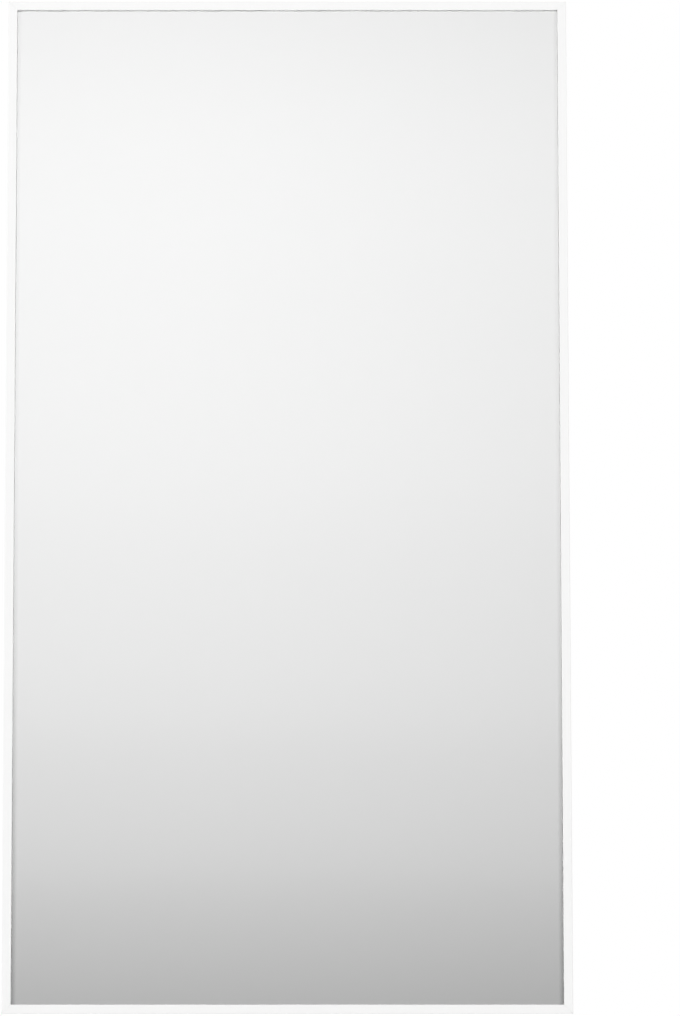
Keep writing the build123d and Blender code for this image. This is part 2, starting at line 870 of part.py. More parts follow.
# ---------------------------------------------------------------- wall brackets and their screws
bracket_foot_x = half_width - frame_wall - 2 * fit_clearance
bracket_riser_x = bracket_foot_x - bracket_foot_width
bracket_flange_x = keyhole_spacing_x / 2 - keyhole_flange_reach
bracket_section = [
    (bracket_foot_x, cover_back_y),
    (bracket_riser_x, cover_back_y),
    (bracket_riser_x, -bracket_thickness),
    (bracket_flange_x, -bracket_thickness),
    (bracket_flange_x, 0),
    (bracket_riser_x + bracket_thickness, 0),
    (bracket_riser_x + bracket_thickness, cover_back_y + bracket_thickness),
    (bracket_foot_x, cover_back_y + bracket_thickness),
]
for corner, (sx, sz) in corners.items():
    bracket_middle = sz * keyhole_spacing_z / 2
    with BuildPart() as wall_bracket:
        with BuildSketch(Plane.XY.offset(bracket_middle - bracket_height / 2)) as bend:
            with BuildLine():
                Polyline([(sx * x, y) for x, y in bracket_section], close=True)
            make_face()
            inner = [bracket_section[2], bracket_section[6]]
            outer = [bracket_section[1], bracket_section[5]]
            for bend_corners, radius in (
                (inner, bracket_bend_radius),
                (outer, bracket_bend_radius + bracket_thickness),
            ):
                for x, y in bend_corners:
                    fillet(bend.vertices().sort_by_distance((sx * x, y))[0], radius)
        extrude(amount=bracket_height)
        flange_edges = wall_bracket.edges().filter_by(Axis.Y).group_by(Axis.X)
        fillet(flange_edges[0] + flange_edges[-1], bracket_corner_radius)
        with BuildSketch(facing(0)):
            with Locations((sx * keyhole_spacing_x / 2, bracket_middle)):
                Circle(keyhole_entry_radius)
            with Locations(
                (sx * keyhole_spacing_x / 2, bracket_middle + keyhole_rise / 2)
            ):
                SlotCenterToCenter(keyhole_rise, 2 * keyhole_slot_radius, rotation=90)
        extrude(amount=bracket_thickness, mode=Mode.SUBTRACT)
        with BuildSketch(facing(cover_back_y + bracket_thickness)):
            with Locations(
                *[
                    (sx * (half_width - chamber_mid_u), bracket_middle + step)
                    for step in evenly(2, bracket_screw_spacing)
                ]
            ):
                Circle(bracket_screw_shank + hole_clearance)
        extrude(amount=bracket_thickness, mode=Mode.SUBTRACT)
    save(wall_bracket, f"wall_bracket_{corner}")

bracket_screw = cross_screw(
    cover_back_y + bracket_thickness,
    bracket_screw_shank,
    bracket_screw_head,
    bracket_screw_head_height,
    bracket_screw_length,
)
save(at_points(bracket_screw, bracket_screw_points), "wall_bracket_screws")

# ---------------------------------------------------------------- control box base
tray_depth = box_depth - box_lid_thickness
button_y = board_back_y + tact_height / 2
with BuildPart() as control_box_base:
    with BuildSketch(facing(cover_back_y)):
        with Locations((0, box_middle)):
            RectangleRounded(box_width, box_height, box_corner_radius)
    extrude(amount=-tray_depth)
    with BuildSketch(facing(box_floor_y)):
        with Locations((0, box_middle)):
            RectangleRounded(inner_width, inner_height, box_inner_corner_radius)
    extrude(amount=-(tray_depth - box_floor), mode=Mode.SUBTRACT)
    with BuildSketch(facing(box_floor_y)):
        with Locations(*flat(box_boss_points)):
            Circle(box_boss_radius)
    extrude(amount=-(tray_depth - box_floor))
    with BuildSketch(facing(lid_front_y)):
        with Locations(*flat(box_boss_points)):
            Circle(lid_screw_shank + hole_clearance)
    extrude(amount=lid_screw_length, mode=Mode.SUBTRACT)
    with BuildSketch(facing(box_floor_y)):
        with Locations(*flat(board_screw_points)):
            Circle(standoff_radius)
    extrude(amount=-board_standoff)
    with BuildSketch(facing(board_front_y)):
        with Locations(*flat(board_screw_points)):
            Circle(board_screw_shank + hole_clearance)
    extrude(amount=board_standoff, mode=Mode.SUBTRACT)
    with BuildSketch(facing(box_floor_y)):
        with Locations(*flat(box_rivet_points)):
            Circle(rivet_radius + hole_clearance)
        with Locations((earth_x, earth_screw_z)):
            Circle(earth_screw_shank + hole_clearance)
        with Locations((grommet_x, grommet_z)):
            Circle(grommet_hole_radius + hole_clearance)
    extrude(amount=box_floor, mode=Mode.SUBTRACT)
    with BuildSketch(Plane.XY.offset(box_bottom)):
        with Locations((rocker_x, box_mid_y)):
            Rectangle(
                rocker_body_length + 2 * hole_clearance,
                rocker_body_width + 2 * hole_clearance,
            )
        with Locations((button_x, button_y)):
            Circle(button_cap_radius + button_hole_clearance)
        with Locations((pipe_x, button_y)):
            Circle(pipe_radius + hole_clearance)
        with Locations((gland_x, box_mid_y)):
            Circle(gland_thread_radius + thread_clearance)
        with Locations(
            *[
                (sensor_x + x, box_mid_y)
                for x in evenly(sensor_vent_count, 2 * vent_width)
            ]
        ):
            SlotOverall(sensor_vent_length, vent_width, rotation=90)
    extrude(amount=box_wall, mode=Mode.SUBTRACT)
save(control_box_base, "control_box_base")

# ---------------------------------------------------------------- control box lid, its screws and the rivets
vent_places = [
    (x * (box_width / 4), box_middle + z)
    for x in (-1, 1)
    for z in evenly(vent_count, vent_pitch)
]
with BuildPart() as control_box_lid:
    with BuildSketch(facing(lid_front_y)):
        with Locations((0, box_middle)):
            RectangleRounded(box_width, box_height, box_corner_radius)
    extrude(amount=-box_lid_thickness)
    chamfer(control_box_lid.faces().sort_by(Axis.Y)[-1].edges(), box_lid_thickness / 3)
    chamfer(control_box_lid.faces().sort_by(Axis.Y)[0].edges(), box_seam)
    with BuildSketch(facing(box_back_y)):
        with Locations(*flat(box_boss_points)):
            Circle(lid_screw_shank + hole_clearance)
        with Locations(*vent_places):
            SlotOverall(vent_length, vent_width)
    extrude(amount=box_lid_thickness, mode=Mode.SUBTRACT)
save(control_box_lid, "control_box_lid")

lid_screw = cross_screw(
    box_back_y,
    lid_screw_shank,
    lid_screw_head,
    lid_screw_head_height,
    lid_screw_length,
)
save(at_points(lid_screw, box_boss_points), "lid_screws")

with BuildPart() as rivet:
    with BuildSketch(facing(box_floor_y)):
        Circle(rivet_head_radius)
    extrude(amount=-rivet_head_height)
    fillet(rivet.edges().group_by(Axis.Y)[-1], rivet_head_height * 0.6)
    with BuildSketch(facing(box_floor_y)):
        Circle(rivet_radius)
    extrude(amount=box_floor + cover_thickness)
    with BuildSketch(facing(cover_front_y)):
        Circle(rivet_tail_radius)
    extrude(amount=rivet_tail_height)
save(at_points(rivet.part, box_rivet_points), "box_rivets")

# ---------------------------------------------------------------- rubber grommet
grommet_front_y = cover_front_y - grommet_flange_thickness
grommet_back_y = box_floor_y + grommet_flange_thickness
with BuildPart() as wire_grommet:
    for start, end, radius in (
        (grommet_front_y, cover_front_y, grommet_flange_radius),
        (cover_front_y, box_floor_y, grommet_hole_radius),
        (box_floor_y, grommet_back_y, grommet_flange_radius),
    ):
        with BuildSketch(facing(start)):
            with Locations((grommet_x, grommet_z)):
                Circle(radius)
        extrude(amount=start - end)
    with BuildSketch(facing(grommet_front_y)):
        with Locations((grommet_x, grommet_z)):
            Circle(grommet_bore_radius)
    extrude(amount=grommet_front_y - grommet_back_y, mode=Mode.SUBTRACT)
save(wire_grommet, "wire_grommet")


# ---------------------------------------------------------------- controller board and its parts
def on_board(place):
    """A board place, given from the board's lower middle, as (x, z) in the heater's frame."""
    return (place[0], board_bottom + place[1])


with BuildPart() as controller_board:
    with BuildSketch(facing(board_front_y)):
        with Locations((0, board_middle)):
            Rectangle(board_width, board_height)
        with Locations(*flat(board_screw_points)):
            Circle(board_screw_shank + hole_clearance, mode=Mode.SUBTRACT)
    extrude(amount=-board_thickness)
save(controller_board, "controller_board")

board_screw = cross_screw(
    board_back_y,
    board_screw_shank,
    board_screw_head,
    board_screw_head_height,
    board_screw_length,
)
save(at_points(board_screw, board_screw_points), "board_screws")


def moulded_block(place, length, width, height):
    """A potted module on the board: a block with softened edges."""
    with BuildPart() as block:
        with BuildSketch(facing(board_back_y)):
            with Locations(on_board(place)):
                Rectangle(length, width)
        extrude(amount=-height)
        fillet(block.edges().filter_by(Axis.Y), 0.1 * height)
        chamfer(block.faces().sort_by(Axis.Y)[-1].edges(), 0.05 * height)
    return block


power_module = moulded_block(
    power_module_place, power_module_length, power_module_width, power_module_height
)
save(power_module, "power_module")

heating_relay = moulded_block(relay_place, relay_length, relay_width, relay_height)
save(heating_relay, "heating_relay")

with BuildPart() as radio_module:
    with BuildSketch(facing(board_back_y)):
        with Locations(on_board(radio_place)):
            Rectangle(radio_board_length, radio_board_width)
    extrude(amount=-radio_board_thickness)
    with BuildSketch(facing(board_back_y + radio_board_thickness)):
        with Locations(on_board(radio_place)):
            Rectangle(radio_can_length, radio_can_width)
    extrude(amount=-radio_can_height)
save(radio_module, "radio_module")

fuse_x, fuse_z = on_board(fuse_place)
fuse_y = board_back_y + fuse_lift + fuse_radius
with BuildPart() as fuse:
    with Locations((fuse_x, fuse_y, fuse_z)):
        Cylinder(fuse_radius, fuse_length, rotation=(0, 90, 0))
    for end in (-1, 1):
        clip_x = fuse_x + end * (fuse_length / 2 - fuse_radius)
        with Locations((clip_x, (board_back_y + fuse_y) / 2, fuse_z)):
            Box(fuse_radius, fuse_y - board_back_y, fuse_clip_width)
save(fuse, "fuse")

with BuildPart() as capacitor:
    with BuildSketch(facing(board_back_y)):
        with Locations(on_board(capacitor_place)):
            Circle(capacitor_radius)
    extrude(amount=-capacitor_height)
    fillet(capacitor.edges().group_by(Axis.Y)[-1], capacitor_radius * 0.15)
save(capacitor, "capacitor")

terminal_height = len(terminal_names) * terminal_pitch
terminal_places = [(terminal_left + terminal_width / 2, terminal_z(n)) for n in terminal_names]
terminal_screw_seat = terminal_wire_y + terminal_bore_radius + terminal_land
terminal_top_y = board_back_y + terminal_tall
with BuildPart() as terminal_block:
    with BuildSketch(facing(board_back_y)):
        with Locations((terminal_left + terminal_width / 2, board_middle)):
            Rectangle(terminal_width, terminal_height)
    extrude(amount=-terminal_tall)
    back_left = terminal_block.edges().filter_by(Axis.Z).group_by(Axis.Y)[-1]
    chamfer(back_left.sort_by(Axis.X)[0], terminal_chamfer)
    with BuildSketch(Plane.YZ.offset(terminal_left)):
        with Locations(*[(terminal_wire_y, z) for x, z in terminal_places]):
            Circle(terminal_bore_radius)
    extrude(amount=terminal_bore_depth, mode=Mode.SUBTRACT)
    with BuildSketch(facing(terminal_top_y)):
        with Locations(*terminal_places):
            Circle(terminal_screw_radius + hole_clearance)
    extrude(amount=terminal_top_y - terminal_screw_seat, mode=Mode.SUBTRACT)
save(terminal_block, "terminal_block")

terminal_screw_length = terminal_top_y - terminal_screw_sink - terminal_screw_seat
with BuildPart() as terminal_screws:
    with BuildSketch(facing(terminal_screw_seat)):
        with Locations(*terminal_places):
            Circle(terminal_screw_radius)
    extrude(amount=-terminal_screw_length)
    with BuildSketch(facing(terminal_screw_seat + terminal_screw_length)):
        with Locations(*terminal_places):
            Rectangle(2 * terminal_screw_radius, screwdriver_slot_width)
    extrude(amount=screwdriver_slot_depth, mode=Mode.SUBTRACT)
save(terminal_screws, "terminal_screws")

with BuildPart() as pairing_switch:
    with BuildSketch(facing(board_back_y)):
        with Locations((button_x, board_bottom + tact_side / 2)):
            Rectangle(tact_side, tact_side)
    extrude(amount=-tact_height)
save(pairing_switch, "pairing_switch")

lamp_leg_z = board_bottom + lamp_length - lamp_leg_height / 2
with BuildPart() as status_lamp:
    with BuildSketch(Plane.XY.offset(board_bottom)):
        with Locations((pipe_x, button_y)):
            Circle(lamp_radius)
    extrude(amount=lamp_length)
    fillet(status_lamp.edges().group_by(Axis.Z)[0], lamp_radius * 0.8)
    with Locations((pipe_x, (board_back_y + button_y) / 2, lamp_leg_z)):
        Box(lamp_radius, button_y - board_back_y, lamp_leg_height)
save(status_lamp, "status_lamp")

sensor_z = wall_inside_z + board_lift / 2
sensor_lead_y = board_back_y + sensor_lead_radius
with BuildPart() as room_sensor:
    with BuildSketch(Plane.XY.offset(sensor_z - sensor_bead_radius)):
        with Locations((sensor_x, sensor_lead_y)):
            Circle(sensor_bead_radius)
    extrude(amount=2 * sensor_bead_radius)
    fillet(room_sensor.edges().filter_by(GeomType.CIRCLE), sensor_bead_radius * 0.8)
    with BuildSketch(Plane.XY.offset(sensor_z)):
        with Locations(
            *[(sensor_x + x, sensor_lead_y) for x in evenly(2, sensor_lead_spacing)]
        ):
            Circle(sensor_lead_radius)
    extrude(amount=board_lift)
save(room_sensor, "room_sensor")

# ---------------------------------------------------------------- light pipe and pairing button
with BuildPart() as light_pipe:
    with BuildSketch(Plane.XY.offset(box_bottom - pipe_proud)):
        with Locations((pipe_x, button_y)):
            Circle(pipe_radius)
    extrude(amount=board_bottom - button_play - box_bottom + pipe_proud)
    with BuildSketch(Plane.XY.offset(wall_inside_z)):
        with Locations((pipe_x, button_y)):
            Circle(pipe_radius + pipe_flange)
    extrude(amount=pipe_flange)
    fillet(light_pipe.edges().group_by(Axis.Z)[0], pipe_proud * 0.8)
save(light_pipe, "light_pipe")

flange_z = wall_inside_z + button_play / 2
with BuildPart() as pairing_button:
    with BuildSketch(Plane.XY.offset(box_bottom - button_proud)):
        with Locations((button_x, button_y)):
            Circle(button_cap_radius)
    extrude(amount=flange_z - box_bottom + button_proud)
    with BuildSketch(Plane.XY.offset(flange_z)):
        with Locations((button_x, button_y)):
            Circle(button_flange_radius)
    extrude(amount=button_flange_thickness)
    with BuildSketch(Plane.XY.offset(flange_z)):
        with Locations((button_x, button_y)):
            Circle(button_stem_radius)
    extrude(amount=board_bottom - button_travel - button_play - flange_z)
    fillet(pairing_button.edges().group_by(Axis.Z)[0], button_proud * 0.3)
save(pairing_button, "pairing_button")

# ---------------------------------------------------------------- rocker switch
with BuildPart() as rocker_housing:
    with BuildSketch(Plane.XY.offset(face_z)):
        with Locations((rocker_x, box_mid_y)):
            RectangleRounded(
                rocker_body_length + 2 * rocker_bezel_end_overlap,
                rocker_body_width + 2 * rocker_bezel_side_overlap,
                rocker_bezel_corner_radius,
            )
    extrude(amount=rocker_bezel_thickness)
    chamfer(rocker_housing.faces().sort_by(Axis.Z)[0].edges(), rocker_bezel_chamfer)
    with BuildSketch(Plane.XY.offset(box_bottom)):
        with Locations((rocker_x, box_mid_y)):
            Rectangle(rocker_body_length, rocker_body_width)
    extrude(amount=rocker_body_depth)
    with BuildSketch(Plane.XY.offset(face_z)):
        with Locations((rocker_x, box_mid_y)):
            Rectangle(2 * cavity_half_length, 2 * cavity_half_width)
    extrude(amount=rocker_cavity_depth, mode=Mode.SUBTRACT)
    with Locations((rocker_x, box_mid_y, pivot_z)):
        Cylinder(
            rocker_axle_radius + hole_clearance,
            rocker_body_width,
            rotation=(90, 0, 0),
            mode=Mode.SUBTRACT,
        )
save(rocker_housing, "rocker_housing")

crown_z = face_z - rocker_crown
crown_edge_z = crown_z - rocker_radius * tan(radians(rocker_throw / 2))
inner_z = pivot_z + rocker_inner_reach
with BuildPart() as rocker_button:
    with BuildSketch(Plane.XZ.offset(-box_mid_y)):
        with Locations((rocker_x, pivot_z)):
            Circle(rocker_radius)
        with BuildLine():
            Polyline(
                [
                    (rocker_x - rocker_radius, inner_z),
                    (rocker_x + rocker_radius, inner_z),
                    (rocker_x + rocker_radius, crown_edge_z),
                    (rocker_x, crown_z),
                    (rocker_x - rocker_radius, crown_edge_z),
                ],
                close=True,
            )
        make_face(mode=Mode.INTERSECT)
    extrude(amount=rocker_width / 2, both=True)
    with Locations((rocker_x, box_mid_y, pivot_z)):
        Cylinder(rocker_axle_radius, rocker_body_width, rotation=(90, 0, 0))
pivot_axis = Axis((rocker_x, box_mid_y, pivot_z), (0, 1, 0))
rocker_button.part = rocker_button.part.rotate(pivot_axis, -rocker_throw / 2)
save(rocker_button, "rocker_button")

tab_z = box_bottom + rocker_body_depth
with BuildPart() as rocker_tabs:
    with BuildSketch(Plane.XY.offset(tab_z)):
        with Locations(
            *[(rocker_x + x, box_mid_y) for x in evenly(2, tab_spacing)]
        ):
            Rectangle(tab_thickness, tab_width)
    extrude(amount=tab_length)
save(rocker_tabs, "rocker_tabs")

switch_pad_x = board_width / 2 - 2 * board_hole_inset
for name, place, rise in (
    ("switch_lead_in", -tab_spacing / 2, 2 * wire_bend),
    ("switch_lead_out", tab_spacing / 2, 2 * wire_bend + 4 * wire_radius),
):
    top = tab_z + tab_length + rise
    route = [
        (rocker_x + place, box_mid_y, tab_z + tab_length),
        (rocker_x + place, box_mid_y, top),
        (switch_pad_x, box_mid_y, top),
        (switch_pad_x, board_back_y, top),
    ]
    save(wire(route, last_bend=0.7 * (box_mid_y - board_back_y)), name)

# ---------------------------------------------------------------- cable gland
gland_end_z = box_bottom - gland_flange_thickness - gland_neck_length
nut_top_z = box_bottom - gland_flange_thickness - thread_clearance
nut_end_z = nut_top_z - gland_nut_length
hexagon = {"radius": gland_flats / 2, "side_count": 6, "major_radius": False}
gland_centre = Location((gland_x, box_mid_y))
with BuildPart() as gland_body:
    with BuildSketch(Plane.XY.offset(box_bottom)):
        with Locations(gland_centre):
            RegularPolygon(**hexagon)
    extrude(amount=-gland_flange_thickness)
    with BuildSketch(Plane.XY.offset(gland_end_z)):
        with Locations(gland_centre):
            Circle(gland_thread_radius)
    extrude(amount=box_bottom + gland_spigot_length - gland_end_z)
    with BuildSketch(Plane.XY.offset(gland_end_z)):
        with Locations(gland_centre):
            Circle(gland_bore_radius)
    extrude(
        amount=box_bottom + gland_spigot_length - gland_end_z, mode=Mode.SUBTRACT
    )
save(gland_body, "gland_body")

seal_radius = cable_bore_radius + seal_wall
seal_end_z = gland_end_z - thread_clearance
with BuildPart() as gland_nut:
    with BuildSketch(Plane.XY.offset(nut_top_z)):
        with Locations(gland_centre):
            RegularPolygon(**hexagon)
    extrude(amount=-gland_nut_length)
    with BuildSketch(Plane.XY.offset(nut_end_z)):
        with Locations(gland_centre):
            Circle(gland_flats / 2)
    extrude(amount=-gland_nut_dome, taper=gland_nut_taper)
    with BuildSketch(Plane.XY.offset(nut_top_z)):
        with Locations(gland_centre):
            Circle(gland_thread_radius + thread_clearance)
    extrude(amount=-(nut_top_z - gland_end_z), mode=Mode.SUBTRACT)
    with BuildSketch(Plane.XY.offset(gland_end_z)):
        with Locations(gland_centre):
            Circle(seal_radius + thread_clearance)
    extrude(amount=-(seal_length + 2 * thread_clearance), mode=Mode.SUBTRACT)
    with BuildSketch(Plane.XY.offset(nut_top_z)):
        with Locations(gland_centre):
            Circle(gland_nut_mouth_radius)
    extrude(amount=-(gland_nut_length + gland_nut_dome), mode=Mode.SUBTRACT)
save(gland_nut, "gland_nut")

with BuildPart() as gland_seal:
    with BuildSketch(Plane.XY.offset(seal_end_z)):
        with Locations(gland_centre):
            Circle(seal_radius)
            Circle(cable_bore_radius, mode=Mode.SUBTRACT)
    extrude(amount=-seal_length)
save(gland_seal, "gland_seal")

with BuildPart() as gland_locknut:
    with BuildSketch(Plane.XY.offset(wall_inside_z)):
        with Locations(gland_centre):
            RegularPolygon(**hexagon)
            Circle(gland_thread_radius + thread_clearance, mode=Mode.SUBTRACT)
    extrude(amount=gland_locknut_thickness)
save(gland_locknut, "gland_locknut")
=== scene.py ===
import json
import math

import bmesh
import bpy
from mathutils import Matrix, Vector
from mathutils.bvhtree import BVHTree


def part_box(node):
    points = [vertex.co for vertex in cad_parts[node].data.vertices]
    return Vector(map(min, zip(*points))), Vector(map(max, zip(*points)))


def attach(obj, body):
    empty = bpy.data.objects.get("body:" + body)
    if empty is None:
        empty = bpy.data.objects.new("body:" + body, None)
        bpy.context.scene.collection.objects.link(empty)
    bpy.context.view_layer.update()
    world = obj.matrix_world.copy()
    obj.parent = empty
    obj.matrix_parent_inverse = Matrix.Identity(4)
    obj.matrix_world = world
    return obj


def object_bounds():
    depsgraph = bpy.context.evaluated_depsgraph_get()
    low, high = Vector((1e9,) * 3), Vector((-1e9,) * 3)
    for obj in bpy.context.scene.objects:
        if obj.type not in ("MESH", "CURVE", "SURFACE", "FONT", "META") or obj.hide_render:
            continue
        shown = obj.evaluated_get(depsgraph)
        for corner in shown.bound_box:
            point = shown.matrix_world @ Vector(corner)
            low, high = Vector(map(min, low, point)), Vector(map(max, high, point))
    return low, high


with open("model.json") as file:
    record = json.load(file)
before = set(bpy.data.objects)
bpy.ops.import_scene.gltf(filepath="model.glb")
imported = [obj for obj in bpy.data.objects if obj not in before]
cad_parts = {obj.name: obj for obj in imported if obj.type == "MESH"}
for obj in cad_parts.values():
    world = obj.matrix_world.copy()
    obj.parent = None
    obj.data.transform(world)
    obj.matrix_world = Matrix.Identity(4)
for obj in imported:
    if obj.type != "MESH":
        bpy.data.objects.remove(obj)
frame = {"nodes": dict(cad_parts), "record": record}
cad_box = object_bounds()

# The finish, light and camera of an infrared panel heater. Lengths are in metres, in the frame's axes:
# +Z is up, +X is to the right as seen from the room, and the mirror faces -Y.
MM = 0.001

# ---------------------------------------------------------------- camera
CAMERA_DISTANCE = 3.09  # from the front of the frame
CAMERA_HEIGHT = -0.276  # below the middle of the panel
CAMERA_TILT = 5.1  # degrees upwards
SENSOR = 36.0  # millimetres, its long side, which is upright
LENS = 124.16  # millimetres
SHIFT = (0.0518, -0.00665)  # the panel stands left of the middle of the picture

camera_data = bpy.data.cameras.new("camera")
camera_data.sensor_width = SENSOR
camera_data.lens = LENS
camera_data.shift_x, camera_data.shift_y = SHIFT
camera = bpy.data.objects.new("camera", camera_data)
camera.location = (0, cad_box[0].y - CAMERA_DISTANCE, CAMERA_HEIGHT)
camera.rotation_euler = (math.radians(90 + CAMERA_TILT), 0, 0)
bpy.context.scene.collection.objects.link(camera)
bpy.context.scene.camera = camera
bpy.context.scene.view_settings.view_transform = "Standard"


# ---------------------------------------------------------------- helpers for node trees
class Tree:
    """Short ways to add and join shader nodes. A value given to an input may be a number or a socket."""

    def __init__(self, owner):
        owner.use_nodes = True
        self.nodes = owner.node_tree.nodes
        self.links = owner.node_tree.links

    def give(self, socket, value):
        if isinstance(value, bpy.types.NodeSocket):
            self.links.new(value, socket)
        elif isinstance(value, (tuple, list)) and len(value) == 3 and socket.type == "RGBA":
            socket.default_value = (*value, 1.0)
        else:
            socket.default_value = value

    def add(self, kind, inputs=None, **settings):
        node = self.nodes.new(kind)
        for key, value in settings.items():
            setattr(node, key, value)
        for key, value in (inputs or {}).items():
            self.give(node.inputs[key], value)
        return node

    def maths(self, operation, *values):
        node = self.add("ShaderNodeMath", operation=operation)
        for socket, value in zip(node.inputs, values):
            self.give(socket, value)
        return node.outputs[0]

    def spread(self, value, low, high, to_low=0.0, to_high=1.0, smooth=False):
        """Maps low to high onto to_low to to_high, and holds the ends."""
        node = self.add(
            "ShaderNodeMapRange",
            {
                "Value": value,
                "From Min": low,
                "From Max": high,
                "To Min": to_low,
                "To Max": to_high,
            },
            interpolation_type="SMOOTHSTEP" if smooth else "LINEAR",
        )
        return node.outputs["Result"]

    def mix(self, factor, first, second):
        """A colour between two colours."""
        node = self.add("ShaderNodeMix", data_type="RGBA")
        for name, value in (("Factor", factor), ("A", first), ("B", second)):
            sockets = [s for s in node.inputs if s.name == name and s.enabled]
            self.give(sockets[0], value)
        return [s for s in node.outputs if s.enabled][0]


# ---------------------------------------------------------------- studio
PLAIN_LEVEL = 0.97  # light from all sides, where a lamp adds the rest
WHITE = 1.0
# The renderer blurs glass for light that a matt surface gets through it, and loses most of that light.
# These give it back, the more from below, where it lights the top bar by way of the mirror.
GAIN_BELOW, GAIN_ABOVE = 8.5, 1.0
GAIN_TURN = 15.0  # degrees each side of the horizon
SWEEP = [  # what the mirror faces: degrees above the horizon, and how bright the studio is there
    (-7.0, 0.42),
    (-3.0, 0.5),
    (-1.0, 0.676),
    (1.5, 0.822),
    (5.0, 0.935),
    (9.0, 0.995),
    (11.5, 0.99),
    (13.5, 0.94),
    (20.0, 0.9),
    (30.0, 0.95),
]
SWEEP_RANGE = (SWEEP[0][0], SWEEP[-1][0])
GLOW_AZIMUTH = -3.2  # degrees: the brightest part is a little to the left
GLOW_REACH = 20.0  # degrees each side of it
GLOW_FALL = 0.26  # the share that is lost there
FLOOR_HEIGHT = -0.75
FLOOR_RADIUS = 4.3
FLOOR_SEGMENTS = 128
FLOOR_ALBEDO = 0.8
FLOOR_LIFT = 0.16  # makes the unshadowed floor just white to the camera
FLOOR_RIM_LIFT = 0.35
FLOOR_NEAR_GREY, FLOOR_FAR_GREY = 0.95, 0.42  # the floor in reflections
FLOOR_FADE = (1.0, FLOOR_RADIUS)  # from the middle, where the near floor turns into the far one
LAMPS = [  # name, azimuth and elevation from the panel in degrees, distance, size, watts, shows in gloss
    ("key_lamp", -36, 14, 6.0, 2.6, 52, False),  # the mirror would show its square from below
    ("back_lamp", 150, 20, 6.0, 3.4, 44, True),
]


def ray_kinds(tree):
    """Three kinds of ray: from the camera, seen by way of gloss or glass, and light that a matt
    surface gets through glass."""
    path = tree.add("ShaderNodeLightPath")
    through_glass = path.outputs["Is Transmission Ray"]
    gloss = tree.maths("MAXIMUM", path.outputs["Is Glossy Ray"], through_glass)
    scattered = tree.maths("GREATER_THAN", path.outputs["Diffuse Depth"], 0.5)
    seen = tree.maths("MULTIPLY", gloss, tree.maths("SUBTRACT", 1.0, scattered))
    return path.outputs["Is Camera Ray"], seen, tree.maths("MULTIPLY", through_glass, scattered)


def glow_towards(tree, place, reach=1.0):
    """How bright the studio is towards a place, as a share of its brightest part. With a reach of 0
    it is even."""
    toward_room = tree.maths("MULTIPLY", place.outputs["Y"], -1.0)
    azimuth = tree.maths("DEGREES", tree.maths("ARCTAN2", place.outputs["X"], toward_room))
    off_glow = tree.maths("ABSOLUTE", tree.maths("SUBTRACT", azimuth, GLOW_AZIMUTH))
    fall = tree.spread(off_glow, 0.0, GLOW_REACH, 0.0, GLOW_FALL, smooth=True)
    return tree.maths("SUBTRACT", 1.0, tree.maths("MULTIPLY", fall, reach))


def light_studio():
    """The studio all round: white to the camera, a sweep of greys in the mirror, and plain light."""
    world = bpy.data.worlds.new("studio")
    bpy.context.scene.world = world
    sky = Tree(world)
    background = sky.nodes["Background"]
    direction = sky.add("ShaderNodeTexCoord").outputs["Generated"]
    along = sky.add("ShaderNodeSeparateXYZ", {0: direction})
    elevation = sky.maths("DEGREES", sky.maths("ARCSINE", along.outputs["Z"]))

    sweep = sky.add("ShaderNodeValToRGB", {"Fac": sky.spread(elevation, *SWEEP_RANGE)})
    sweep.color_ramp.interpolation = "CARDINAL"
    stops = sweep.color_ramp.elements
    while len(stops) < len(SWEEP):
        stops.new(0.5)
    for stop, (degrees, grey) in zip(stops, SWEEP):
        stop.position = (degrees - SWEEP_RANGE[0]) / (SWEEP_RANGE[1] - SWEEP_RANGE[0])
        stop.color = (grey, grey, grey, 1.0)
    seen_in_gloss = sky.maths("MULTIPLY", sweep.outputs["Color"], glow_towards(sky, along))

    from_camera, from_gloss, glass_light = ray_kinds(sky)
    level = sky.mix(from_gloss, (PLAIN_LEVEL,) * 3, seen_in_gloss)
    sky.give(background.inputs["Color"], sky.mix(from_camera, level, (WHITE,) * 3))
    gain = sky.spread(elevation, -GAIN_TURN, GAIN_TURN, GAIN_BELOW, GAIN_ABOVE)
    extra = sky.maths("MULTIPLY", glass_light, sky.maths("SUBTRACT", gain, 1.0))
    sky.give(background.inputs["Strength"], sky.maths("ADD", extra, 1.0))


